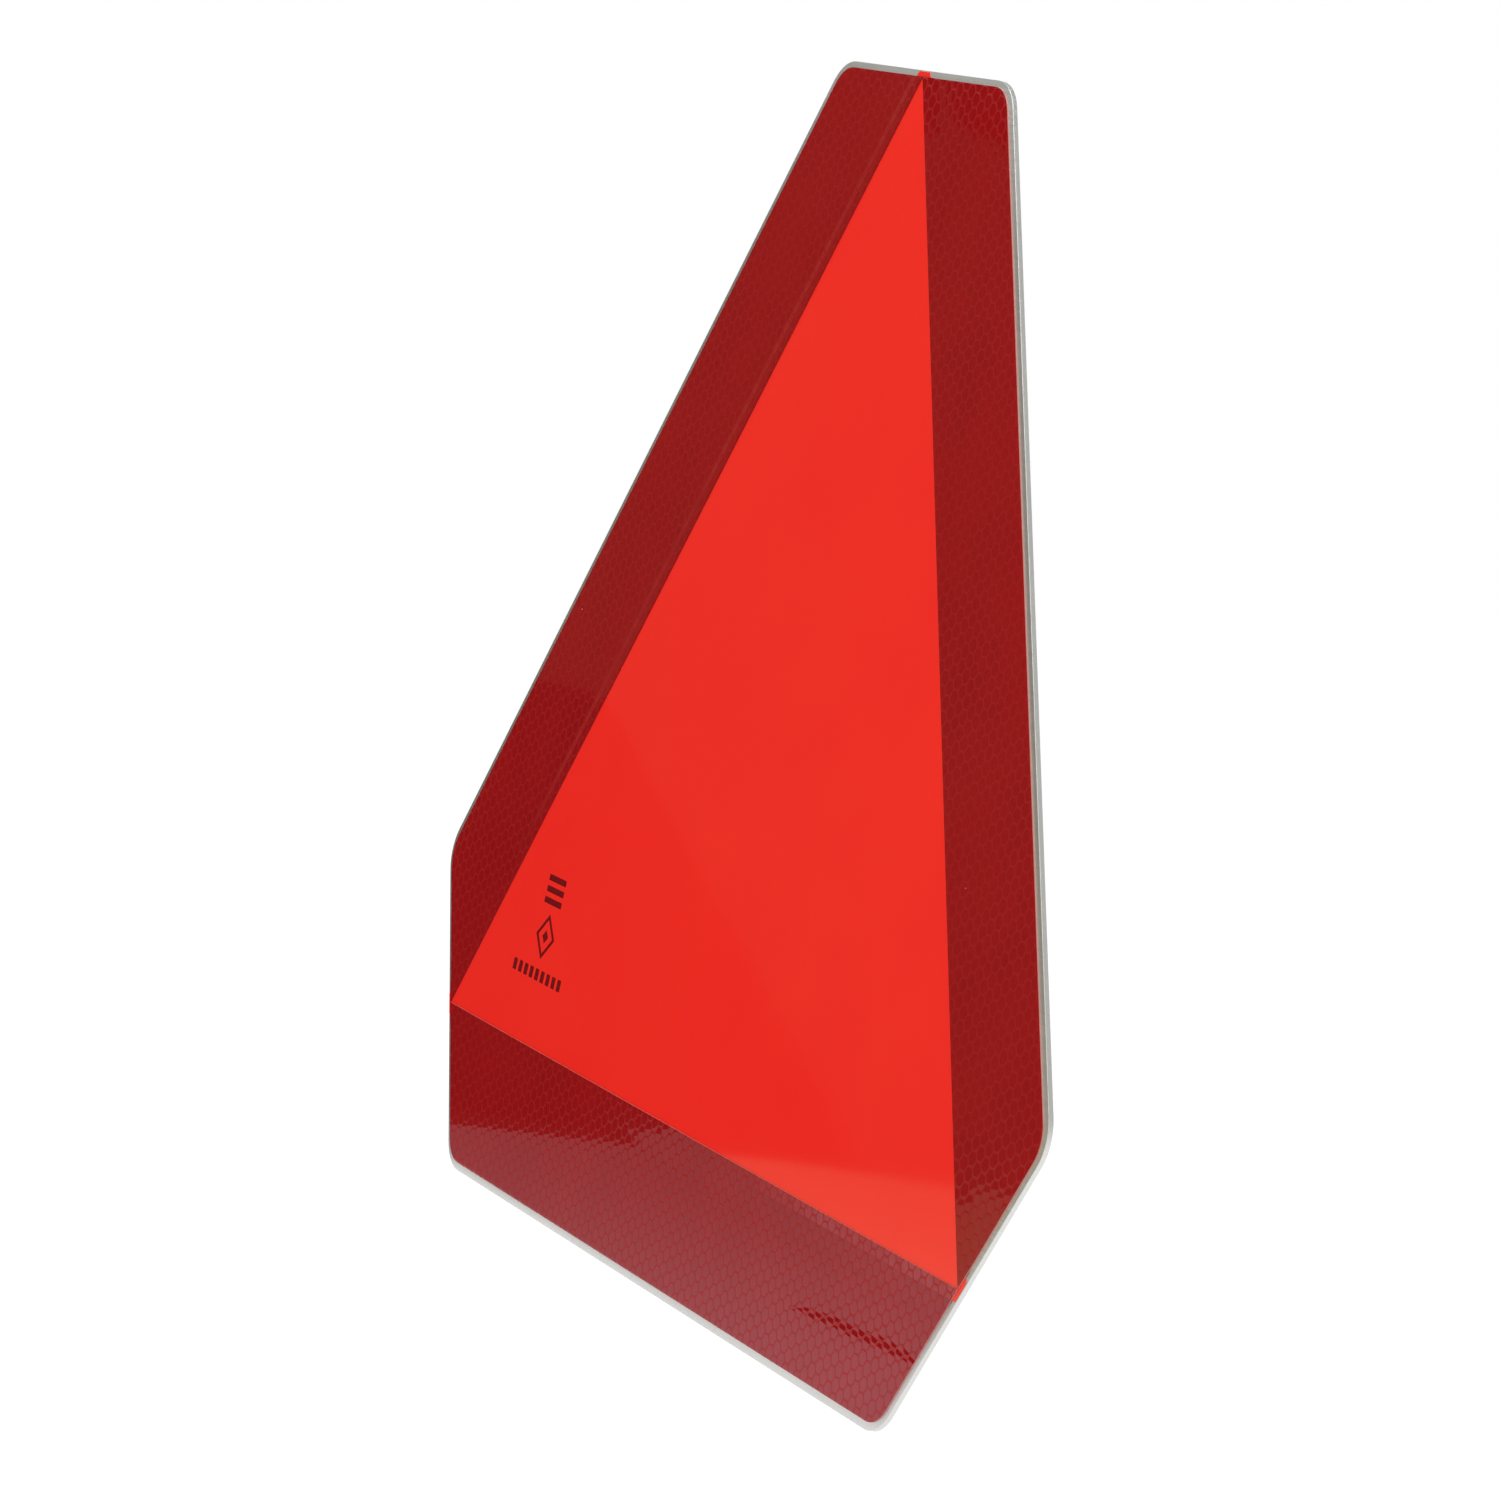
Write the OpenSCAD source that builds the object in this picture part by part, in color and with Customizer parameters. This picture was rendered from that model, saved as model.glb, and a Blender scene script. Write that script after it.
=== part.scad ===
/* [Triangle] */
// Side length of the fluorescent triangle that shows between the strips
triangle_side = 360; // [350:1:365]
// Visible width of each reflective strip
strip_width = 45; // [45:0.5:48]

/* [Backing plate] */
// Thickness of the aluminium sheet
plate_thickness = 1.5; // [1:0.1:3]
// Bare metal outside the strips along the three long edges
long_edge_rim = 2.4; // [1:0.1:4]
// Distance from each corner of the triangle to the plate's cut-off edge
corner_to_edge = 1.7; // [1.5:0.1:6]
// Radius of the plate's six rounded corners
corner_radius = 13.5; // [8:0.5:18]

/* [Sheeting] */
// How far the strips lap over the fluorescent sheet
lap_width = 3.6; // [3:0.1:8]
// How far the strips' ends stop short of the triangle's corners
strip_end_gap = 0.2; // [0:0.1:1]
// How far the fluorescent sheet runs past the triangle's corners
fluorescent_reach = 1.3; // [0.5:0.1:1.4]
// Width of the slope where a strip steps down off the fluorescent sheet
step_width = 2.8; // [0.6:0.1:3.5]

/* [Sheeting layers] */
// Thickness of the adhesive under each sheet
adhesive_thickness = 0.05; // [0.03:0.01:0.1]
// Thickness of the fluorescent colour film
colour_film_thickness = 0.12; // [0.08:0.01:0.2]
// Thickness of the clear weather film over the fluorescent colour
weather_film_thickness = 0.05; // [0.03:0.01:0.1]
// Thickness of the metallised base film that holds the glass beads
reflector_thickness = 0.12; // [0.08:0.01:0.2]
// Height of the sealed honeycomb cells
cell_height = 0.1; // [0.06:0.01:0.15]
// Thickness of the clear red face film
face_film_thickness = 0.13; // [0.08:0.01:0.2]

/* [Printed mark] */
// Thickness of the ink
ink_thickness = 0.03; // [0.02:0.01:0.05]
// Distance of the mark's centre line from the plate's centre line
mark_offset = 121; // [100:1:122]
// Height of the mark's middle symbol above the triangle's bottom edge
mark_height = 33.5; // [32:0.5:36]

/* [Hidden] */
$fn = 96;

inner_radius = triangle_side * sqrt(3) / 6;
outer_radius = 2 * inner_radius;
strip_corner_radius = corner_radius - long_edge_rim;
fluorescent_corner_radius = 0.4;

adhesive_top = adhesive_thickness;
colour_film_top = adhesive_top + colour_film_thickness;
fluorescent_top = colour_film_top + weather_film_thickness;
reflector_top = adhesive_top + reflector_thickness;
cells_top = reflector_top + cell_height;
strip_top = cells_top + face_film_thickness;

// Turns of the three strips about the plate's centre, starting from the bottom edge
bottom_turn = 0;
right_turn = 120;
left_turn = 240;

function direction(angle) = [cos(angle), sin(angle)];

// The outline's edges alternate: even ones are the cut-off corners, odd ones the long edges
function edge_angle(i) = 90 + 60 * i;

function edge_distance(i, long_reach, cut_reach) =
    i % 2 == 0 ? outer_radius + cut_reach : inner_radius + long_reach;

// Where edges i and i + 1 cross, once both are moved in by inset
function crossing(i, long_reach, cut_reach, inset) =
    let (here = edge_distance(i, long_reach, cut_reach) - inset)
    let (next = edge_distance(i + 1, long_reach, cut_reach) - inset)
    here * direction(edge_angle(i))
        + (next - here * cos(60)) / sin(60) * direction(edge_angle(i) + 90);

// Triangle with cut-off, rounded corners, around the origin. long_reach is how far its long
// edges lie outside the fluorescent triangle, cut_reach how far its cut-off edges lie outside
// the triangle's corners
module outline(long_reach, cut_reach, radius) {
    centres = [for (i = [0:5]) crossing(i, long_reach, cut_reach, radius)];
    polygon([
        for (i = [0:5], side = [0, 1])
        centres[i] + radius * direction(edge_angle(i + side))
    ]);
    for (centre = centres)
        translate(centre)
            circle(r = radius);
}

// Layers are drawn lying face up, their height counted from the plate's back, then stood up
// so that the plate faces -Y with one corner of the triangle at the top
module layer(bottom, top) {
    rotate([90, 0, 0])
        translate([0, 0, bottom])
            linear_extrude(height = top - bottom)
                children();
}

module fluorescent_layer(bottom, top) {
    layer(plate_thickness + bottom, plate_thickness + top)
        outline(lap_width, fluorescent_reach, fluorescent_corner_radius);
}

// Cross-section of one layer of a strip, from the triangle's edge outwards: it lies on the
// fluorescent sheet over the lap, then steps down onto the plate
module strip_section(bottom, top) {
    slope_end = lap_width + step_width;
    strip_end = strip_width + 1;
    polygon([
        [0, fluorescent_top + bottom],
        [lap_width, fluorescent_top + bottom],
        [slope_end, bottom],
        [strip_end, bottom],
        [strip_end, top],
        [slope_end, top],
        [lap_width, fluorescent_top + top],
        [0, fluorescent_top + top]
    ]);
}

module strip_layer(turn, bottom, top) {
    rotate([90, 0, 0])
        translate([0, 0, plate_thickness])
            rotate([0, 0, turn])
                intersection() {
                    translate([triangle_side, -inner_radius, 0])
                        rotate([90, 0, -90])
                            linear_extrude(height = 2 * triangle_side)
                                strip_section(bottom, top);
                    linear_extrude(height = fluorescent_top + strip_top)
                        outline(strip_width, -strip_end_gap, strip_corner_radius);
                }
}

module backing_plate() {
    color("lightgray")
        layer(0, plate_thickness)
            outline(strip_width + long_edge_rim, corner_to_edge, corner_radius);
}

module fluorescent_adhesive() {
    color("gainsboro")
        fluorescent_layer(0, adhesive_top);
}

module fluorescent_film() {
    color("orangered")
        fluorescent_layer(adhesive_top, colour_film_top);
}

module fluorescent_weather_film() {
    color("tomato")
        fluorescent_layer(colour_film_top, fluorescent_top);
}

// Three bars above a diamond with a dot, above a row of blocks
module mark_shapes() {
    bar = [13, 1.9];
    bar_spacing = 3.5;
    bars_height = 14.4;
    diamond_side = 10;
    diamond_line = 1.2;
    dot_side = 3;
    block = [2.6, 3.6];
    block_spacing = 4.35;
    block_gaps = 8;
    blocks_height = -12;

    for (i = [-1:1])
        translate([0, bars_height + i * bar_spacing])
            square(bar, center = true);
    rotate(45)
        difference() {
            square(diamond_side, center = true);
            square(diamond_side - 2 * diamond_line, center = true);
        }
    rotate(45)
        square(dot_side, center = true);
    for (i = [0:block_gaps])
        translate([(i - block_gaps / 2) * block_spacing, blocks_height])
            square(block, center = true);
}

module printed_mark() {
    ink_bottom = plate_thickness + fluorescent_top;
    color("black")
        layer(ink_bottom, ink_bottom + ink_thickness)
            translate([-mark_offset, mark_height - inner_radius])
                mark_shapes();
}

module strip_adhesive(turn) {
    color("whitesmoke")
        strip_layer(turn, 0, adhesive_top);
}

module strip_reflector(turn) {
    color("silver")
        strip_layer(turn, adhesive_top, reflector_top);
}

module strip_cells(turn) {
    color("indianred")
        strip_layer(turn, reflector_top, cells_top);
}

module strip_face(turn) {
    color("firebrick")
        strip_layer(turn, cells_top, strip_top);
}

backing_plate();
fluorescent_adhesive();
fluorescent_film();
fluorescent_weather_film();
printed_mark();
strip_adhesive(bottom_turn);  // bottom_strip_adhesive
strip_reflector(bottom_turn);  // bottom_strip_reflector
strip_cells(bottom_turn);  // bottom_strip_cells
strip_face(bottom_turn);  // bottom_strip_face
strip_adhesive(right_turn);  // right_strip_adhesive
strip_reflector(right_turn);  // right_strip_reflector
strip_cells(right_turn);  // right_strip_cells
strip_face(right_turn);  // right_strip_face
strip_adhesive(left_turn);  // left_strip_adhesive
strip_reflector(left_turn);  // left_strip_reflector
strip_cells(left_turn);  // left_strip_cells
strip_face(left_turn);  // left_strip_face
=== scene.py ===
import math
import random

import bmesh
import bpy
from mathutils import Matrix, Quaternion, Vector


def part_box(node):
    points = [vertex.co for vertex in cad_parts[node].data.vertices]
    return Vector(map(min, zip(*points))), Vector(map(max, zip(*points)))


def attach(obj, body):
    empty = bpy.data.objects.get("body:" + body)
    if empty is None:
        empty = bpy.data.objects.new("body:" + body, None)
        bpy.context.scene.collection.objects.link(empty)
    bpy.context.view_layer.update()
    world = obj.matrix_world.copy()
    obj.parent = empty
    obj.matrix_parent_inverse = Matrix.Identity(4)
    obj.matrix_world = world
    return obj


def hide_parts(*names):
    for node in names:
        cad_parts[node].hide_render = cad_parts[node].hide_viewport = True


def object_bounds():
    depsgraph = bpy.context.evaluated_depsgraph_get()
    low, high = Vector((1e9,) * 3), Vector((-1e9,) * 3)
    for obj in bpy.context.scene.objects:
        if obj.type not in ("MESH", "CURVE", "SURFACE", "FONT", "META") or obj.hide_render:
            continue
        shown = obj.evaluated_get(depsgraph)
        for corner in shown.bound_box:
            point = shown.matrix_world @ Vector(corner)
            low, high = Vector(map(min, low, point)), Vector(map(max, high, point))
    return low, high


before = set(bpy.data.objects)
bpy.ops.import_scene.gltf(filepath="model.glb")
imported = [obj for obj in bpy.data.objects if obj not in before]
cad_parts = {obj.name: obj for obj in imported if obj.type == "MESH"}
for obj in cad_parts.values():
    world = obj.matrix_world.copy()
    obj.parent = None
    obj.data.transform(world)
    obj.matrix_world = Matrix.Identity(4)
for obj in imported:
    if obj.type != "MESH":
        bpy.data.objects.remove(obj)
cad_low, cad_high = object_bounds()

MM = 0.001

# ---------------------------------------------------------------- sizes taken from the frame
# Seen from the front, x runs to the right and z up. A height is a distance in front of the rear face.
SIXTH_TURN = math.radians(60)
THIRD_TURN = math.radians(120)


def lowest(node):
    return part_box(node)[0]


def highest(node):
    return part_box(node)[1]


PLATE_FRONT = -lowest("backing_plate").y
SHEET_BOTTOM = -highest("fluorescent_film").y
SHEET_TOP = -lowest("fluorescent_weather_film").y
STEP_HEIGHT = SHEET_TOP - PLATE_FRONT
CELLS_BOTTOM = -highest("bottom_strip_cells").y
STRIP_TOP = -lowest("bottom_strip_face").y - STEP_HEIGHT

INNER_RADIUS = -highest("bottom_strip_face").z
PLATE_EDGE = -lowest("backing_plate").z
PLATE_CUT = highest("backing_plate").z
STRIP_EDGE = -lowest("bottom_strip_face").z
STRIP_CUT = highest("left_strip_face").z
SHEET_EDGE = -lowest("fluorescent_film").z
SHEET_CUT = highest("fluorescent_film").z
LAP_WIDTH = SHEET_EDGE - INNER_RADIUS

# These are the part's own sizes, which its boxes don't give
PLATE_CORNER = 13.5 * MM
STRIP_CORNER = PLATE_CORNER - (PLATE_EDGE - STRIP_EDGE)
SHEET_CORNER = 0.4 * MM
STEP_WIDTH = 2.8 * MM

# ---------------------------------------------------------------- plan outlines
# Facets in a rounded corner of the plate and the strips, as many as the frame's meshes have there
ARC_STEPS = 7
# The same for the fluorescent sheet, whose corners are much smaller
SHEET_ARC_STEPS = 4


def direction(angle):
    return Vector((math.cos(angle), math.sin(angle)))


def edge_angle(i):
    """Even edges are the cut-off corners, odd ones the long edges."""
    return math.radians(90) + SIXTH_TURN * i


def crossing(i, long_distance, cut_distance):
    """Where edges i and i + 1 of an outline cross, each at its distance from the centre."""
    here, following = cut_distance, long_distance
    if i % 2 == 1:
        here, following = following, here
    along = (following - here * math.cos(SIXTH_TURN)) / math.sin(SIXTH_TURN)
    return here * direction(edge_angle(i)) + along * direction(edge_angle(i) + math.pi / 2)


def outline(long_distance, cut_distance, radius, arc_steps=ARC_STEPS):
    """Counterclockwise points of a triangle with cut-off, rounded corners."""
    points = []
    for i in range(6):
        centre = crossing(i, long_distance - radius, cut_distance - radius)
        for step in range(arc_steps + 1):
            angle = edge_angle(i) + SIXTH_TURN * step / arc_steps
            points.append(centre + radius * direction(angle))
    return points


def in_frame(point, height):
    """A point of the plan at a height, as a place in the frame."""
    return Vector((point[0], -height, point[1]))


# ---------------------------------------------------------------- objects


def add_object(name, mesh_data, materials):
    piece = bpy.data.objects.new(name, mesh_data)
    bpy.context.scene.collection.objects.link(piece)
    for material in materials:
        mesh_data.materials.append(material)
    return piece


def mesh_from(bm, name):
    mesh_data = bpy.data.meshes.new(name)
    bmesh.ops.recalc_face_normals(bm, faces=bm.faces)
    bm.to_mesh(mesh_data)
    bm.free()
    return mesh_data


def stacked_rings(rings):
    """Closed solid through rings of the same number of points, lowest first."""
    bm = bmesh.new()
    loops = [[bm.verts.new(place) for place in ring] for ring in rings]
    count = len(loops[0])
    for low, high in zip(loops, loops[1:]):
        for i in range(count):
            j = (i + 1) % count
            side = bm.faces.new((low[i], low[j], high[j], high[i]))
            side.smooth = True
    bm.faces.new(list(reversed(loops[0])))
    bm.faces.new(loops[-1])
    return bm


# ---------------------------------------------------------------- backing plate
FRONT_ROLLOVER = 0.15 * MM
BACK_ROUNDING = 0.12 * MM
ROUNDING_STEPS = 4


def plate_profile():
    """(inset, height) pairs up the sheared edge: a small rounding at the back, more at the front."""
    pairs = []
    angles = [math.pi / 2 * step / ROUNDING_STEPS for step in range(ROUNDING_STEPS + 1)]
    for angle in angles:
        inset = BACK_ROUNDING * (1 - math.sin(angle))
        pairs.append((inset, BACK_ROUNDING * (1 - math.cos(angle))))
    for angle in angles:
        inset = FRONT_ROLLOVER * (1 - math.cos(angle))
        pairs.append((inset, PLATE_FRONT - FRONT_ROLLOVER * (1 - math.sin(angle))))
    return pairs


def make_plate(materials):
    rings = []
    for inset, height in plate_profile():
        points = outline(PLATE_EDGE - inset, PLATE_CUT - inset, PLATE_CORNER - inset)
        rings.append([in_frame(point, height) for point in points])
    mesh_data = mesh_from(stacked_rings(rings), "aluminium_plate")
    piece = add_object("aluminium_plate", mesh_data, materials)
    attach(piece, "root")
    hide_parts("backing_plate")


# ---------------------------------------------------------------- fluorescent sheet
SHEET_ROUNDING = 0.03 * MM
# How far in the middle of the rounding lies, as a share of the rounding
ROUNDING_MIDDLE = 0.3


def make_fluorescent_sheet(materials):
    middle = SHEET_ROUNDING * ROUNDING_MIDDLE
    rings = []
    for inset, height in (
        (0, SHEET_BOTTOM),
        (0, SHEET_TOP - SHEET_ROUNDING),
        (middle, SHEET_TOP - middle),
        (SHEET_ROUNDING, SHEET_TOP),
    ):
        points = outline(
            SHEET_EDGE - inset, SHEET_CUT - inset, SHEET_CORNER - inset, SHEET_ARC_STEPS)
        rings.append([in_frame(point, height) for point in points])
    mesh_data = mesh_from(stacked_rings(rings), "fluorescent_sheet")
    piece = add_object("fluorescent_sheet", mesh_data, materials)
    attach(piece, "root")
    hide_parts("fluorescent_film", "fluorescent_weather_film")


# ---------------------------------------------------------------- honeycomb strips
# A strip is built as the bottom one, in plan points (x, z), then turned about the centre.
# Its sheet is a lattice of walls, with a cap in each cell that stands a hair proud of them.
SIDES = ("bottom", "right", "left")
CELL_PITCH = 4.35 * MM
CELL_APOTHEM = CELL_PITCH / 2
APOTHEM_SHARE = math.cos(SIXTH_TURN / 2)
CELL_RADIUS = CELL_APOTHEM / APOTHEM_SHARE
COLUMN_SPACING = CELL_PITCH * APOTHEM_SHARE
WALL_HALF_WIDTH = 0.17 * MM
CAP_SLOPE_WIDTH = 0.16 * MM
CAP_SHOULDER_WIDTH = 0.16 * MM
CAP_RELIEF = 0.012 * MM
CAP_SHOULDER_RISE = 0.002 * MM
CAP_CROWN = 0.006 * MM
CAP_TILT = math.radians(0.08)
CAP_LEAN_ROOM = 0.006 * MM
WALL_LEVEL = STRIP_TOP - CAP_RELIEF - CAP_SHOULDER_RISE - CAP_CROWN - CAP_LEAN_ROOM
# A cell's rings from this one inwards belong to its cap
CAP_RING = 2
# The strip's material slots
CAP, WALL, CUT, PALE_BAND = 0, 1, 2, 3
# The strip is divided across its width into this many parts over the lap and over the step
LAP_PARTS = 4
STEP_PARTS = 6
# How far from the triangle's edge the face film is drawn down, and how sharply
FACE_REACH = 9 * MM
FACE_CURVE = 1.2
# Two strips have a paler band, which on the left strip is a painted sheen on its slope over the step:
# how far it lies from the triangle's edge, nearest and farthest, and its reach along the strip, where
# the strip lies as the bottom one does
PALE_BAND_ACROSS = {
    "bottom": (0, 0.95 * LAP_WIDTH),
    "left": (LAP_WIDTH - 0.4 * MM, LAP_WIDTH + 1.8 * MM),
}
PALE_BAND_ALONG = {
    "bottom": (55 * MM, STRIP_CUT),
    "left": (-STRIP_CUT, 120 * MM),
}
# Points nearer than this are one point
WELD_DISTANCE = 0.5e-6


def within_one(value):
    return min(max(value, 0), 1)


def laid_share(distance):
    """Share of the step still under the strip's back, from 1 over the lap to 0 past the slope."""
    return within_one((LAP_WIDTH + STEP_WIDTH - distance) / STEP_WIDTH)


def face_share(distance):
    """The same for its face, which is drawn down in one long curve from the strip's inner edge."""
    return within_one(1 - distance / FACE_REACH) ** FACE_CURVE


def past_triangle(point):
    """Distance of a point of the bottom strip from the triangle's edge."""
    return -point[1] - INNER_RADIUS


def strip_sides():
    """(outward direction, distance) of every side of the bottom strip's convex outline."""
    points = outline(STRIP_EDGE, STRIP_CUT, STRIP_CORNER)
    sides = [(Vector((0, 1)), -INNER_RADIUS)]
    for start, end in zip(points, points[1:] + points[:1]):
        along = end - start
        if along.length < WELD_DISTANCE or min(start.y, end.y) > -INNER_RADIUS:
            continue
        outward = Vector((along.y, -along.x)).normalized()
        sides.append((outward, outward.dot(start)))
    return sides


def clipped(face, sides):
    """The part of a face, a list of (x, z, height), that lies inside every side."""
    for outward, distance in sides:
        kept = []
        over = [outward.x * p[0] + outward.y * p[1] - distance for p in face]
        for i, (point, here) in enumerate(zip(face, over)):
            before = over[i - 1]
            if (here > 0) != (before > 0):
                share = before / (before - here)
                kept.append(face[i - 1].lerp(point, share))
            if here <= 0:
                kept.append(point)
        face = kept
        if len(face) < 3:
            return []
    return face


def cell_faces(centre, tilt):
    """(face, material) pairs of one cell: a wall all round, then a slightly crowned cap."""
    levels = (
        (0, WALL_LEVEL),
        (WALL_HALF_WIDTH, WALL_LEVEL),
        (WALL_HALF_WIDTH + CAP_SLOPE_WIDTH, WALL_LEVEL + CAP_RELIEF),
        (WALL_HALF_WIDTH + CAP_SLOPE_WIDTH + CAP_SHOULDER_WIDTH,
         WALL_LEVEL + CAP_RELIEF + CAP_SHOULDER_RISE),
    )
    rings = []
    for number, (inset, height) in enumerate(levels):
        size = (CELL_APOTHEM - inset) / APOTHEM_SHARE
        ring = []
        for corner in range(6):
            offset = size * direction(SIXTH_TURN * corner)
            lean = tilt.dot(offset) if number >= CAP_RING else 0
            ring.append(Vector((centre.x + offset.x, centre.y + offset.y, height + lean)))
        rings.append(ring)
    crown = Vector((centre.x, centre.y, levels[-1][1] + CAP_CROWN))
    faces = []
    for number, (outer, inner) in enumerate(zip(rings, rings[1:])):
        material = WALL if number < CAP_RING else CAP
        for i in range(6):
            j = (i + 1) % 6
            faces.append(([outer[i], outer[j], inner[j], inner[i]], material))
    for i in range(6):
        faces.append(([rings[-1][i], rings[-1][(i + 1) % 6], crown], CAP))
    return faces


def cell_centres(shift):
    """Centres of a lattice that covers the bottom strip with two cells to spare."""
    columns = math.ceil(STRIP_CUT / COLUMN_SPACING) + 2
    rows = math.ceil((STRIP_EDGE - INNER_RADIUS) / CELL_PITCH) + 2
    for column in range(-columns, columns + 1):
        for row in range(-1, rows):
            x = column * COLUMN_SPACING + shift.x
            z = -INNER_RADIUS - (row + (column % 2) / 2) * CELL_PITCH + shift.y
            yield Vector((x, z))


def is_inside(centre, sides, margin):
    """Whether a point lies inside every side, or no farther outside one than the margin."""
    return all(outward.dot(centre) - distance < margin for outward, distance in sides)


def lay_cells(bm, shift):
    """The strip's face: every cell that it covers, cut off at its outline."""
    sides = strip_sides()
    for centre in cell_centres(shift):
        tilt = Vector((random.gauss(0, CAP_TILT), random.gauss(0, CAP_TILT)))
        if not is_inside(centre, sides, CELL_RADIUS):
            continue
        whole = is_inside(centre, sides, -CELL_RADIUS)
        for face, material in cell_faces(centre, tilt):
            points = face if whole else clipped(face, sides)
            if len(points) < 3:
                continue
            made = bm.faces.new([bm.verts.new(p) for p in points])
            made.material_index = material
            made.smooth = True
    bmesh.ops.remove_doubles(bm, verts=bm.verts, dist=WELD_DISTANCE)
    bmesh.ops.dissolve_degenerate(bm, edges=bm.edges, dist=WELD_DISTANCE)


def divide_along(bm, distances):
    """Edges along the strip at these distances from the triangle's edge."""
    for distance in distances:
        bmesh.ops.bisect_plane(
            bm, geom=bm.verts[:] + bm.edges[:] + bm.faces[:], dist=WELD_DISTANCE,
            plane_co=(0, -INNER_RADIUS - distance, 0), plane_no=(0, 1, 0))


def mark_pale_band(bm, side):
    """Caps in the strip's pale band take its material, which on the left strip is a painted sheen."""
    near, far = PALE_BAND_ACROSS[side]
    first, last = PALE_BAND_ALONG[side]
    for face in bm.faces:
        middle = face.calc_center_median()
        across = near < past_triangle(middle) < far
        if face.material_index == CAP and across and first < middle.x < last:
            face.material_index = PALE_BAND


def close_underneath(bm, bottom_verts, distances):
    """Flat faces under the strip, one between each two distances from the triangle's edge."""
    for near, far in zip(distances, distances[1:]):
        ring = [
            v for v in bottom_verts
            if near - WELD_DISTANCE <= past_triangle(v.co) <= far + WELD_DISTANCE
        ]
        middle = sum((v.co for v in ring), Vector()) / len(ring)
        ring.sort(key=lambda v: math.atan2(v.co.y - middle.y, v.co.x - middle.x))
        face = bm.faces.new(ring)
        face.material_index = CUT


def add_thickness(bm, step_distances):
    """Cut edges all round and a back, whose points are returned."""
    rim = [edge for edge in bm.edges if edge.is_boundary]
    made = bmesh.ops.extrude_edge_only(bm, edges=rim)["geom"]
    bottom_verts = [v for v in made if isinstance(v, bmesh.types.BMVert)]
    for v in bottom_verts:
        v.co.z = CELLS_BOTTOM
    for face in made:
        if isinstance(face, bmesh.types.BMFace):
            face.material_index = CUT
            face.smooth = False
    close_underneath(bm, bottom_verts, [0, *step_distances, STRIP_EDGE - INNER_RADIUS])
    for edge in bm.edges:
        edge.smooth = not any(face.material_index == CUT for face in edge.link_faces)
    return bottom_verts


def lay_down(bm, bottom_verts, turn):
    """The strip goes over the step, is turned to its side and stood up in the frame."""
    underneath = set(bottom_verts)
    for v in bm.verts:
        share = laid_share if v in underneath else face_share
        height = v.co.z + STEP_HEIGHT * share(past_triangle(v.co))
        x = v.co.x * math.cos(turn) - v.co.y * math.sin(turn)
        z = v.co.x * math.sin(turn) + v.co.y * math.cos(turn)
        v.co = in_frame((x, z), height)


def make_strip(side, turn, shift, materials):
    bm = bmesh.new()
    lay_cells(bm, shift)
    lap_distances = [LAP_WIDTH * i / LAP_PARTS for i in range(1, LAP_PARTS)]
    step_distances = [LAP_WIDTH + STEP_WIDTH * i / STEP_PARTS for i in range(STEP_PARTS + 1)]
    pale_band_distances = [distance for distance in PALE_BAND_ACROSS.get(side, ()) if distance > 0]
    divide_along(bm, lap_distances + step_distances + pale_band_distances + [FACE_REACH])
    if side in PALE_BAND_ACROSS:
        mark_pale_band(bm, side)
    bottom_verts = add_thickness(bm, step_distances)
    lay_down(bm, bottom_verts, turn)
    name = side + "_strip_sheet"
    piece = add_object(name, mesh_from(bm, name), materials)
    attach(piece, "root")
    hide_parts(side + "_strip_cells", side + "_strip_face")


# ---------------------------------------------------------------- material helpers
# A Mix node has one set of sockets for each kind of value
MIX_SHARE = 0
MIX_NUMBERS = (2, 3)
MIX_NUMBER_OUT = 0
MIX_COLOURS = (6, 7)
MIX_COLOUR_OUT = 2

DUST_SPACING = 9 * MM
DUST_SIZE = 0.22 * MM
DUST_COLOUR = (0.80, 0.62, 0.55)
# A speck is fully pale out to this share of its size
DUST_CORE = 0.5
# An edge turns from inward to outward, from painted shade to its own colour, over this much on either
# side
OUTWARD_BLEND = 10 * MM
BOTTOM_STRIP_MIDDLE = (0, 0, -(INNER_RADIUS + STRIP_EDGE) / 2)


def map_range(tree, low, high, to_low, to_high):
    node = tree.nodes.new("ShaderNodeMapRange")
    node.inputs["From Min"].default_value = low
    node.inputs["From Max"].default_value = high
    node.inputs["To Min"].default_value = to_low
    node.inputs["To Max"].default_value = to_high
    return node


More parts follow.
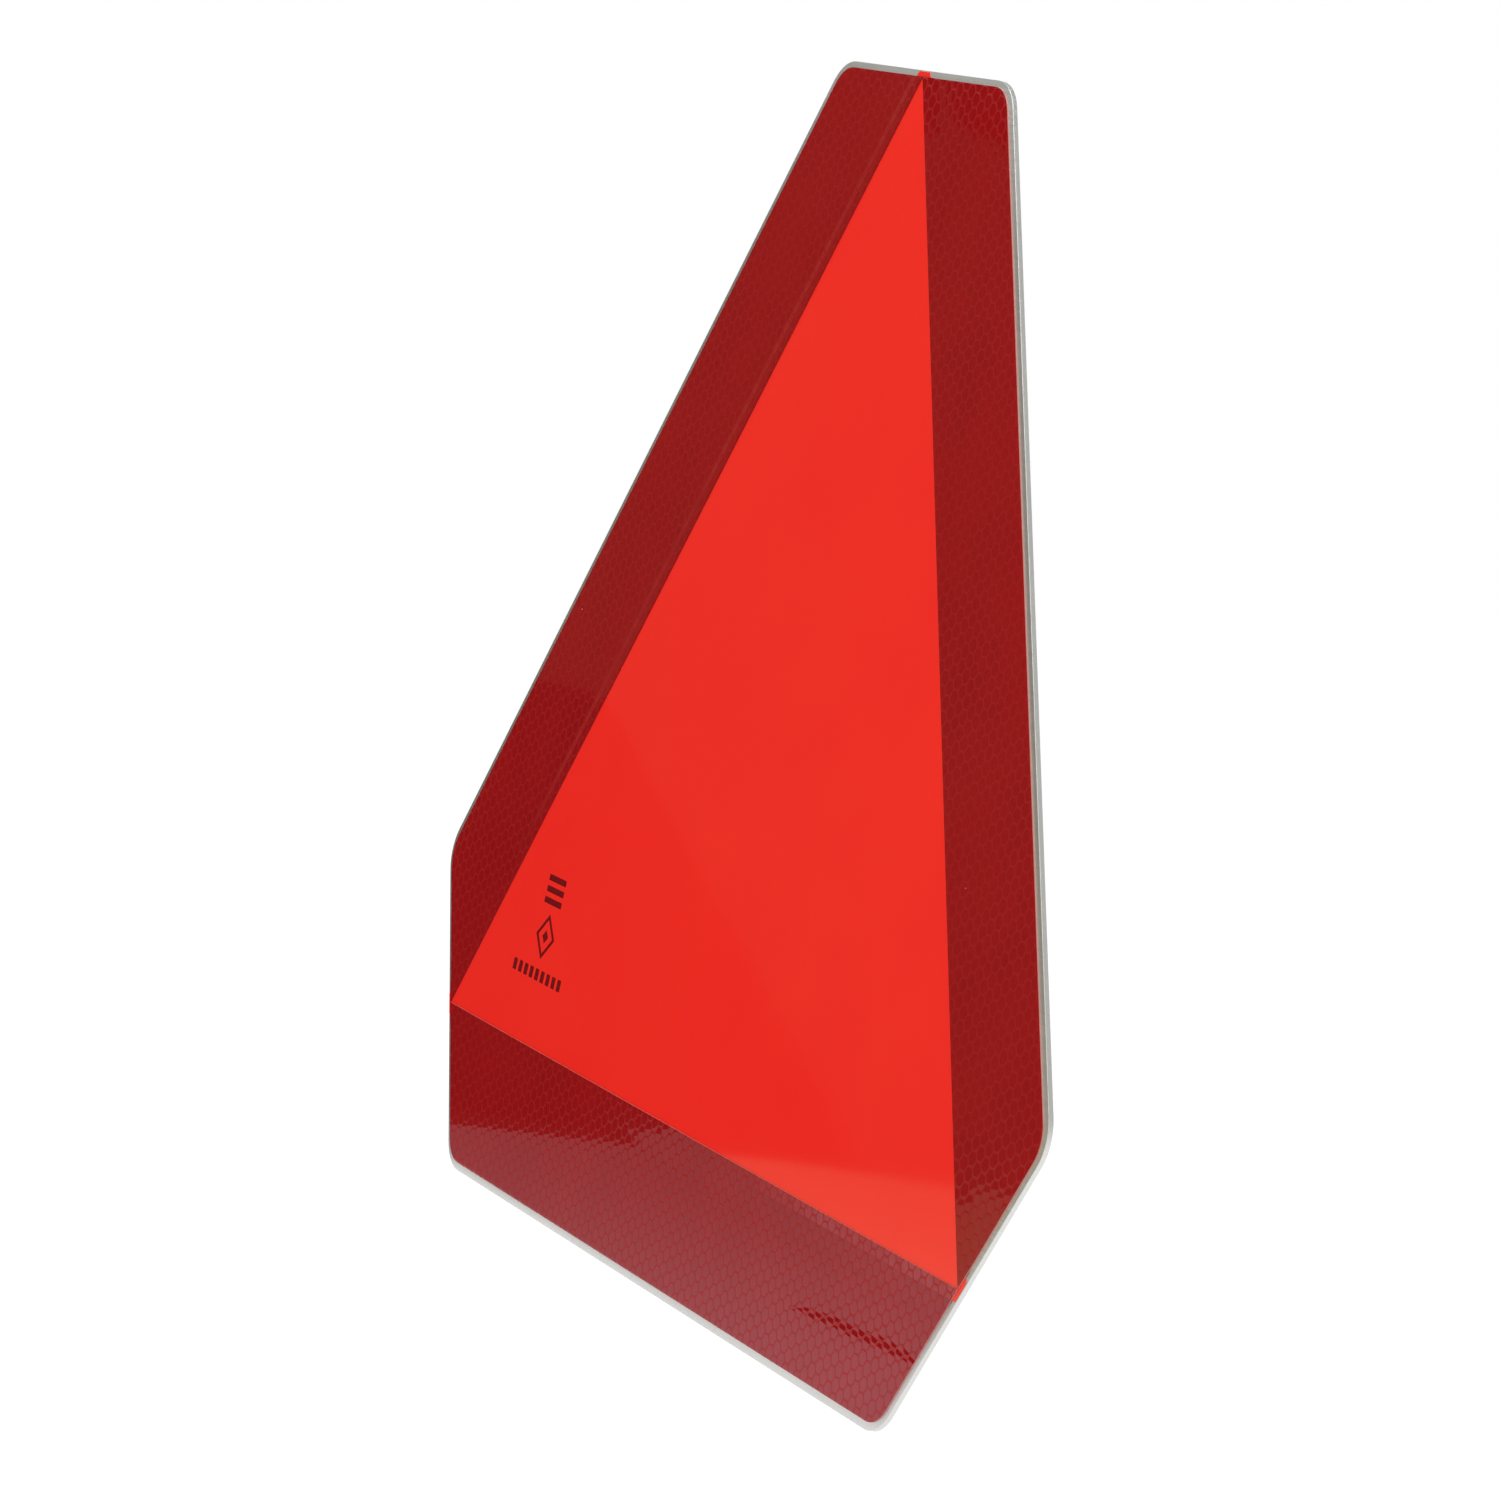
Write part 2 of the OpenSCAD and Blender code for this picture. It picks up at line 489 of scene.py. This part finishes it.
class Surface:
    """A material with one Principled shader, and short ways to add nodes to it."""

    def __init__(self, name, **values):
        self.material = bpy.data.materials.new(name)
        self.material.use_nodes = True
        self.tree = self.material.node_tree
        self.shader = self.tree.nodes["Principled BSDF"]
        for key, value in values.items():
            self.shader.inputs[key.replace("_", " ")].default_value = value
        self.place = self.tree.nodes.new("ShaderNodeTexCoord").outputs["Object"]

    def link(self, source, target):
        self.tree.links.new(source, target)

    def set(self, socket, source):
        self.link(source, self.shader.inputs[socket])

    def stretched(self, scale):
        node = self.tree.nodes.new("ShaderNodeMapping")
        node.inputs["Scale"].default_value = scale
        self.link(self.place, node.inputs["Vector"])
        return node.outputs["Vector"]

    def noise(self, size, detail=2.0, roughness=0.5, place=None):
        """Noise with features about size metres across."""
        node = self.tree.nodes.new("ShaderNodeTexNoise")
        node.inputs["Scale"].default_value = 1 / size
        node.inputs["Detail"].default_value = detail
        node.inputs["Roughness"].default_value = roughness
        self.link(place or self.place, node.inputs["Vector"])
        return node.outputs["Fac"]

    def ranged(self, source, low, high, to_low=0.0, to_high=1.0):
        """The source, with low to high spread over to_low to to_high and cut off beyond them."""
        ramp = map_range(self.tree, low, high, to_low, to_high)
        self.link(source, ramp.inputs["Value"])
        return ramp.outputs["Result"]

    def clouds(self, size, low, high, detail=2.0, roughness=0.5):
        """Noise with its values from low to high spread over 0 to 1."""
        return self.ranged(self.noise(size, detail, roughness), low, high)

    def mixed(self, share, first, second):
        """Blend of two colours, each a tuple or a socket, by a number or a socket."""
        node = self.tree.nodes.new("ShaderNodeMix")
        node.data_type = "RGBA"
        for index, value in zip((MIX_SHARE, *MIX_COLOURS), (share, first, second)):
            socket = node.inputs[index]
            if isinstance(value, bpy.types.NodeSocket):
                self.link(value, socket)
            elif isinstance(value, tuple):
                socket.default_value = (*value, 1)
            else:
                socket.default_value = value
        return node.outputs[MIX_COLOUR_OUT]

    def averaged(self, first, second, share):
        """Blend of two numbers from sockets, with this share of the second."""
        node = self.tree.nodes.new("ShaderNodeMix")
        node.inputs[MIX_SHARE].default_value = share
        for index, source in zip(MIX_NUMBERS, (first, second)):
            self.link(source, node.inputs[index])
        return node.outputs[MIX_NUMBER_OUT]

    def product(self, first, second):
        """One number from a socket times another."""
        node = self.tree.nodes.new("ShaderNodeMath")
        node.operation = "MULTIPLY"
        self.link(first, node.inputs[0])
        self.link(second, node.inputs[1])
        return node.outputs[0]

    def beyond(self, axis, low, high):
        """0 up to one place along a frame axis, rising to 1 at the next."""
        node = self.tree.nodes.new("ShaderNodeSeparateXYZ")
        self.link(self.place, node.inputs[0])
        return self.ranged(node.outputs[axis], low, high)

    def dusted(self, colour):
        """The colour with a few pale specks of dust on it."""
        node = self.tree.nodes.new("ShaderNodeTexVoronoi")
        node.inputs["Scale"].default_value = 1 / DUST_SPACING
        self.link(self.place, node.inputs["Vector"])
        edge = DUST_SIZE / DUST_SPACING
        speck = self.ranged(node.outputs["Distance"], edge, DUST_CORE * edge)
        rare = self.clouds(size=3 * DUST_SPACING, low=0.60, high=0.62)
        return self.mixed(self.product(speck, rare), colour, DUST_COLOUR)

    def outward(self):
        """1 on edges that face away from the middle of the bottom strip, 0 on those that face it and
        get painted shade.
        """
        from_middle = self.tree.nodes.new("ShaderNodeVectorMath")
        from_middle.operation = "SUBTRACT"
        self.link(self.place, from_middle.inputs[0])
        from_middle.inputs[1].default_value = BOTTOM_STRIP_MIDDLE
        node = self.tree.nodes.new("ShaderNodeVectorMath")
        node.operation = "DOT_PRODUCT"
        self.link(from_middle.outputs["Vector"], node.inputs[0])
        self.link(self.tree.nodes.new("ShaderNodeTexCoord").outputs["Normal"], node.inputs[1])
        return self.ranged(node.outputs["Value"], -OUTWARD_BLEND, OUTWARD_BLEND)

    def bumped(self, source, height):
        """A normal raised by source times height metres."""
        node = self.tree.nodes.new("ShaderNodeBump")
        node.inputs["Distance"].default_value = height
        self.link(source, node.inputs["Height"])
        return node.outputs["Normal"]


# ---------------------------------------------------------------- materials
CAP_RED = (0.304, 0.0072, 0.0078)
CAP_RED_DEEP = (0.248, 0.0050, 0.0062)
WALL_RED = (0.288, 0.0096, 0.0100)
# Painted sheen on the left strip's slope over the step
STEP_SHEEN_RED = (0.308, 0.016, 0.0125)
LAP_RED = (0.328, 0.029, 0.0325)
# Painted shade on the cut edges that face the bottom strip's middle
SHADED_EDGE_RED = (0.24, 0.012, 0.012)
CUT_RED = (0.62, 0.24, 0.20)
CUT_RED_DEEP = (0.50, 0.15, 0.13)
ADHESIVE_CUT = (0.62, 0.50, 0.45)
ADHESIVE_CUT_DEEP = (0.46, 0.36, 0.32)
REFLECTOR_CUT = (0.55, 0.32, 0.28)
REFLECTOR_CUT_DEEP = (0.42, 0.20, 0.17)
FLUORESCENT_RED = (0.835, 0.0245, 0.0148)
FLUORESCENT_DEEP = (0.82, 0.0205, 0.0145)
FLUORESCENT_GLOW = 0.05
INK_DARK = (0.105, 0.006, 0.007)
INK_THIN = (0.17, 0.009, 0.010)
ALUMINIUM = (0.75, 0.745, 0.72)
ALUMINIUM_DULL = (0.66, 0.66, 0.635)

# The noise's scale along each axis: it is drawn out along x, as rolling lines are
ROLLING_STRETCH = (0.012, 1, 1)
ROLLING_DEPTH = 0.004 * MM
# Where the pale bands start to show and where they show fully, along a frame axis; the left strip's is
# a painted sheen
STEP_SHEEN_FADED = -50 * MM
STEP_SHEEN_FULL = -15 * MM
LAP_FADED = 55 * MM
LAP_FULL = 100 * MM


def film(name, coat, coat_roughness, roughness=0.5):
    """A film whose gloss is all in a clear coat."""
    return Surface(
        name, Roughness=roughness, Specular_IOR_Level=0.0,
        Coat_Weight=coat, Coat_Roughness=coat_roughness)


def cap_material():
    s = film("cell_caps", coat=0.85, coat_roughness=0.02)
    patches = s.clouds(size=40 * MM, low=0.35, high=0.65, detail=3)
    mottling = s.clouds(size=1.4 * MM, low=0.3, high=0.7, detail=3, roughness=0.6)
    shade = s.averaged(patches, mottling, share=0.6)
    s.set("Base Color", s.dusted(s.mixed(shade, CAP_RED_DEEP, CAP_RED)))
    return s.material


def wall_material():
    s = film("cell_walls", coat=0.5, coat_roughness=0.18)
    patches = s.clouds(size=55 * MM, low=0.4, high=0.6)
    s.set("Base Color", s.dusted(s.mixed(patches, CAP_RED, WALL_RED)))
    return s.material


def step_sheen_material():
    """Painted sheen: the left strip's film is drawn lighter in clouds on its slope over the step,
    except low down.
    """
    s = film("painted_step_sheen", coat=0.5, coat_roughness=0.2)
    band_clouds = s.clouds(size=35 * MM, low=0.3, high=0.55, detail=4)
    share = s.product(band_clouds, s.beyond("Z", STEP_SHEEN_FADED, STEP_SHEEN_FULL))
    s.set("Base Color", s.mixed(share, CAP_RED_DEEP, STEP_SHEEN_RED))
    return s.material


def lap_material():
    """The bottom strip's film is drawn lighter and pinker in clouds on its lap over the fluorescent
    sheet, towards the right.
    """
    s = film("lapped_film", coat=0.85, coat_roughness=0.02)
    band_clouds = s.clouds(size=5 * MM, low=0.3, high=0.62, detail=4)
    share = s.product(band_clouds, s.beyond("X", LAP_FADED, LAP_FULL))
    s.set("Base Color", s.mixed(share, CAP_RED, LAP_RED))
    return s.material


def edge_colour(s, grain, deep, pale):
    """Painted shade, a dark red, on edges that face the bottom strip's middle; the cut film's own
    colour on the others.
    """
    return s.mixed(s.outward(), SHADED_EDGE_RED, s.mixed(s.noise(grain), deep, pale))


def cut_material():
    s = film("cut_edge", coat=0.8, coat_roughness=0.15, roughness=0.6)
    s.set("Base Color", edge_colour(s, 1.2 * MM, CUT_RED_DEEP, CUT_RED))
    return s.material


def adhesive_material():
    s = film("adhesive_edge", coat=0.6, coat_roughness=0.2)
    s.set("Base Color", edge_colour(s, 0.6 * MM, ADHESIVE_CUT_DEEP, ADHESIVE_CUT))
    return s.material


def reflector_material():
    s = film("reflector_edge", coat=0.6, coat_roughness=0.2, roughness=0.4)
    s.set("Base Color", edge_colour(s, 0.3 * MM, REFLECTOR_CUT_DEEP, REFLECTOR_CUT))
    return s.material


def fluorescent_material():
    s = film("fluorescent", coat=1.0, coat_roughness=0.07)
    patches = s.clouds(size=60 * MM, low=0.35, high=0.65, detail=3)
    grain = s.noise(0.7 * MM, detail=3, roughness=0.6)
    shade = s.averaged(patches, grain, share=0.3)
    s.set("Base Color", s.dusted(s.mixed(shade, FLUORESCENT_DEEP, FLUORESCENT_RED)))
    s.shader.inputs["Emission Color"].default_value = (*FLUORESCENT_RED, 1)
    s.shader.inputs["Emission Strength"].default_value = FLUORESCENT_GLOW
    return s.material


def ink_material():
    s = Surface("screen_ink", Roughness=0.55, Specular_IOR_Level=0.0)
    blotches = s.clouds(size=0.9 * MM, low=0.35, high=0.65, detail=3)
    s.set("Base Color", s.mixed(blotches, INK_DARK, INK_THIN))
    return s.material


def metal_material():
    s = Surface("mill_aluminium", Metallic=0.88)
    lines = s.noise(0.5 * MM, detail=4, place=s.stretched(ROLLING_STRETCH))
    clouds = s.clouds(size=45 * MM, low=0.3, high=0.7, detail=3)
    shade = s.averaged(clouds, s.ranged(lines, low=0.35, high=0.65), share=0.55)
    s.set("Base Color", s.mixed(shade, ALUMINIUM_DULL, ALUMINIUM))
    s.set("Roughness", s.ranged(lines, low=0.3, high=0.7, to_low=0.38, to_high=0.48))
    s.set("Normal", s.bumped(lines, ROLLING_DEPTH))
    return s.material


def give_material(node, material):
    """A CAD node keeps its shape and takes a better material."""
    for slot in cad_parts[node].material_slots:
        slot.material = material


# ---------------------------------------------------------------- stage
# The floor and the cards are sized in metres. The cards only show in the plate's gloss.
FLOOR_HEIGHT = cad_low.z
FLOOR_RADIUS = 6.0
FLOOR_SIDES = 90
FLOOR_CLOUDS = 0.2
FLOOR_GREY = (0.19, 0.19, 0.19)
FLOOR_GREY_PALE = (0.21, 0.21, 0.21)
FLOOR_GLOW = 0.92

WHITE = (1, 1, 1)
WARM_LIGHT = (1, 0.9, 0.6)
WARMER_LIGHT = (1, 0.8, 0.55)
PINKISH_LIGHT = (1, 0.9, 0.9)
COOL_SHINE = (0.98, 0.92, 1.0)
WARM_SHINE = (1.0, 0.95, 0.6)

# Cards stand at the left of the plate in the planes x = FLAG_X, a gap to the left of it and a gap
# to the right of it. Their corners are (y, z).
CARD_GAP = 0.0005
FLAG_X = -0.255
FLAG_DEPTH = 1.5
FLAG_TOP = 0.232
UPRIGHT_CARDS = (
    {
        "name": "side_flag", "x": FLAG_X, "colour": WARM_LIGHT, "strength": 0.065,
        "corners": (
            (-0.008, FLOOR_HEIGHT), (-FLAG_DEPTH, FLOOR_HEIGHT),
            (-FLAG_DEPTH, FLAG_TOP), (-0.0845, FLAG_TOP)),
    },
    {
        "name": "side_flag_near", "x": FLAG_X - CARD_GAP, "colour": WARMER_LIGHT, "strength": 0.16,
        "corners": ((0, FLOOR_HEIGHT), (-0.30, FLOOR_HEIGHT), (-0.30, FLAG_TOP), (0, FLAG_TOP)),
    },
    {
        "name": "dark_patch", "x": FLAG_X + CARD_GAP, "colour": PINKISH_LIGHT, "strength": 0.01,
        "corners": (
            (-0.008, FLOOR_HEIGHT), (-0.205, FLOOR_HEIGHT),
            (-0.189, -0.136), (-0.064, -0.004), (-0.035, -0.004)),
    },
    {
        "name": "dark_corner", "x": FLAG_X + CARD_GAP, "colour": PINKISH_LIGHT, "strength": 0.0,
        "corners": ((-0.170, 0.203), (-0.145, 0.208), (-0.136, 0.225), (-0.170, FLAG_TOP)),
    },
)

# Two cards on the floor, a cool one near the plate and a warm one beyond it, whose light grows
# from the left to the right
SHINE_EDGE = -0.0075
WARM_EDGE = -0.12
SHINE_RIGHT = 1.5
SHINE_START = -0.28
SHINE_END = 0.22
SHINE_LOW = 0.33
SHINE_HIGH = 0.93

# A dark line on the floor, curved like a parabola, which shows in the bottom strip's gloss
LINE_START = 0.0
LINE_END = 0.070
LINE_END_Y = -0.0655
LINE_BEND = 2.5
LINE_WIDTH = 0.0095
LINE_STEPS = 12
# Its width follows a sine, from this share of half a turn on and over this much of it
LINE_SWELL_START = 0.25
LINE_SWELL = 0.7

# A dim three-cornered card on the floor at the foot of the upright ones, a painted shadow there as the
# plate's gloss shows it
FOOT_WIDTH = 0.037
FOOT_LENGTH = 0.19
FOOT_STRENGTH = 0.02


def flat_mesh(name, places):
    mesh_data = bpy.data.meshes.new(name)
    mesh_data.from_pydata(places, [], [tuple(range(len(places)))])
    return mesh_data


def emitting(name, colour, strength):
    """A plain light surface and its light node."""
    material = bpy.data.materials.new(name)
    material.use_nodes = True
    nodes = material.node_tree.nodes
    nodes.clear()
    light = nodes.new("ShaderNodeEmission")
    light.inputs["Color"].default_value = (*colour, 1)
    light.inputs["Strength"].default_value = strength
    output = nodes.new("ShaderNodeOutputMaterial")
    material.node_tree.links.new(light.outputs["Emission"], output.inputs["Surface"])
    return material, light


def make_card(name, places, colour, strength):
    """A card that only shows in gloss. Its node tree and light node are returned."""
    material, light = emitting(name, colour, strength)
    card = add_object(name, flat_mesh(name, places), [material])
    card.visible_camera = False
    card.visible_diffuse = False
    card.visible_shadow = False
    card.visible_transmission = False
    return material.node_tree, light


def make_floor():
    s = Surface(
        "pale_floor", Roughness=0.9, Specular_IOR_Level=0.0,
        Emission_Color=(*WHITE, 1), Emission_Strength=FLOOR_GLOW)
    s.set("Base Color", s.mixed(s.noise(FLOOR_CLOUDS), FLOOR_GREY, FLOOR_GREY_PALE))
    angles = [math.radians(360 / FLOOR_SIDES * i) for i in range(FLOOR_SIDES)]
    points = [FLOOR_RADIUS * direction(angle) for angle in angles]
    mesh_data = flat_mesh("floor", [(p.x, p.y, FLOOR_HEIGHT) for p in points])
    add_object("floor", mesh_data, [s.material])


def upright_card(name, x, corners, colour, strength):
    make_card(name, [(x, y, z) for y, z in corners], colour, strength)


def shine_card(name, near, far, colour):
    """A card on the floor, brighter to the right."""
    z = FLOOR_HEIGHT + CARD_GAP
    corners = [(FLAG_X, near, z), (FLAG_X, far, z), (SHINE_RIGHT, far, z), (SHINE_RIGHT, near, z)]
    tree, light = make_card(name, corners, colour, 1.0)
    place = tree.nodes.new("ShaderNodeTexCoord").outputs["Object"]
    split = tree.nodes.new("ShaderNodeSeparateXYZ")
    tree.links.new(place, split.inputs["Vector"])
    ramp = map_range(tree, SHINE_START, SHINE_END, SHINE_LOW, SHINE_HIGH)
    ramp.interpolation_type = "SMOOTHERSTEP"
    tree.links.new(split.outputs["X"], ramp.inputs["Value"])
    tree.links.new(ramp.outputs["Result"], light.inputs["Strength"])


def make_floor_line():
    z = FLOOR_HEIGHT + 2 * CARD_GAP
    near, far = [], []
    for step in range(LINE_STEPS + 1):
        share = step / LINE_STEPS
        x = LINE_START + share * (LINE_END - LINE_START)
        y = LINE_END_Y + LINE_BEND * (x - LINE_END) ** 2
        half = LINE_WIDTH / 2 * math.sin(math.pi * (LINE_SWELL_START + LINE_SWELL * share))
        near.append((x, y + half, z))
        far.append((x, y - half, z))
    make_card("floor_line", near + far[::-1], WHITE, 0.0)


def make_flag_foot():
    z = FLOOR_HEIGHT + 2 * CARD_GAP
    corners = [(FLAG_X, 0, z), (FLAG_X + FOOT_WIDTH, 0, z), (FLAG_X, -FOOT_LENGTH, z)]
    make_card("flag_foot", corners, WHITE, FOOT_STRENGTH)


def make_cards():
    for card in UPRIGHT_CARDS:
        upright_card(**card)
    shine_card("floor_shine", SHINE_EDGE, WARM_EDGE, COOL_SHINE)
    shine_card("floor_shine_warm", WARM_EDGE, -FLAG_DEPTH, WARM_SHINE)
    make_floor_line()
    make_flag_foot()


# ---------------------------------------------------------------- lights
# Rectangular lamps that aim at the origin, sized in metres, with their power in watts
LIGHTS = (
    {"name": "key", "place": (1.6, -2.4, 2.2), "size": (1.6, 1.6), "power": 22},
    {"name": "overhead", "place": (0.1, -0.35, 1.6), "size": (1.2, 0.8), "power": 14},
)
# How bright the surroundings are to everything but the camera, at the horizon and overhead
WORLD_LEVEL = 0.95
WORLD_OVERHEAD = 0.2


def make_light(name, place, size, power):
    data = bpy.data.lights.new(name, "AREA")
    data.shape = "RECTANGLE"
    data.size, data.size_y = size
    data.energy = power
    light = bpy.data.objects.new(name, data)
    light.location = place
    light.rotation_mode = "QUATERNION"
    light.rotation_quaternion = (-Vector(place)).to_track_quat("-Z", "Y")
    bpy.context.scene.collection.objects.link(light)


def make_world():
    """White behind everything. What lights the object is dimmer towards the ceiling."""
    world = bpy.data.worlds.new("studio")
    bpy.context.scene.world = world
    world.use_nodes = True
    tree = world.node_tree
    background = tree.nodes["Background"]
    background.inputs["Color"].default_value = (*WHITE, 1)
    place = tree.nodes.new("ShaderNodeTexCoord").outputs["Generated"]
    split = tree.nodes.new("ShaderNodeSeparateXYZ")
    tree.links.new(place, split.inputs["Vector"])
    ramp = map_range(tree, 0.0, 1.0, WORLD_LEVEL, WORLD_OVERHEAD)
    tree.links.new(split.outputs["Z"], ramp.inputs["Value"])
    seen = tree.nodes.new("ShaderNodeMix")
    light_path = tree.nodes.new("ShaderNodeLightPath")
    tree.links.new(light_path.outputs["Is Camera Ray"], seen.inputs[MIX_SHARE])
    tree.links.new(ramp.outputs["Result"], seen.inputs[MIX_NUMBERS[0]])
    seen.inputs[MIX_NUMBERS[1]].default_value = 1.0
    tree.links.new(seen.outputs[MIX_NUMBER_OUT], background.inputs["Strength"])


# ---------------------------------------------------------------- camera
# The photograph's viewpoint, solved from the plate's outline
CAMERA_AZIMUTH = math.radians(63.7)
CAMERA_ELEVATION = math.radians(4.5)
CAMERA_ROLL = math.radians(-13.0)
CAMERA_DISTANCE = 1.6175
CAMERA_AIM = Vector((-0.0035, -0.0056, 0.0086))
CAMERA_LENS = 134.6
SENSOR_WIDTH = 36


def make_camera():
    data = bpy.data.cameras.new("camera")
    data.lens = CAMERA_LENS
    data.sensor_width = SENSOR_WIDTH
    camera = bpy.data.objects.new("camera", data)
    back = Vector((
        math.sin(CAMERA_AZIMUTH) * math.cos(CAMERA_ELEVATION),
        -math.cos(CAMERA_AZIMUTH) * math.cos(CAMERA_ELEVATION),
        math.sin(CAMERA_ELEVATION)))
    camera.location = CAMERA_AIM + back * CAMERA_DISTANCE
    camera.rotation_mode = "QUATERNION"
    upright = (-back).to_track_quat("-Z", "Y")
    camera.rotation_quaternion = Quaternion(-back, CAMERA_ROLL) @ upright
    bpy.context.scene.collection.objects.link(camera)
    bpy.context.scene.camera = camera


# ---------------------------------------------------------------- the scene
LATTICE_SEED = 69


def make_strips():
    """The three strips, each with its own tilts of the cells and its own start of the lattice."""
    materials = [cap_material(), wall_material(), cut_material()]
    pale_band_materials = {"left": [step_sheen_material()], "bottom": [lap_material()]}
    for number, side in enumerate(SIDES):
        shift = Vector((random.uniform(0, COLUMN_SPACING), random.uniform(0, CELL_PITCH)))
        pale_band = pale_band_materials.get(side, [])
        make_strip(side, THIRD_TURN * number, shift, materials + pale_band)


def finish_cad_nodes():
    """Better materials for the layers that keep their CAD shapes."""
    give_material("printed_mark", ink_material())
    adhesive = adhesive_material()
    reflector = reflector_material()
    give_material("fluorescent_adhesive", adhesive)
    for side in SIDES:
        give_material(side + "_strip_adhesive", adhesive)
        give_material(side + "_strip_reflector", reflector)


random.seed(LATTICE_SEED)
make_camera()
make_world()
make_floor()
make_cards()
for light in LIGHTS:
    make_light(**light)
make_plate([metal_material()])
make_fluorescent_sheet([fluorescent_material()])
make_strips()
finish_cad_nodes()

bpy.context.scene.view_settings.view_transform = "Standard"
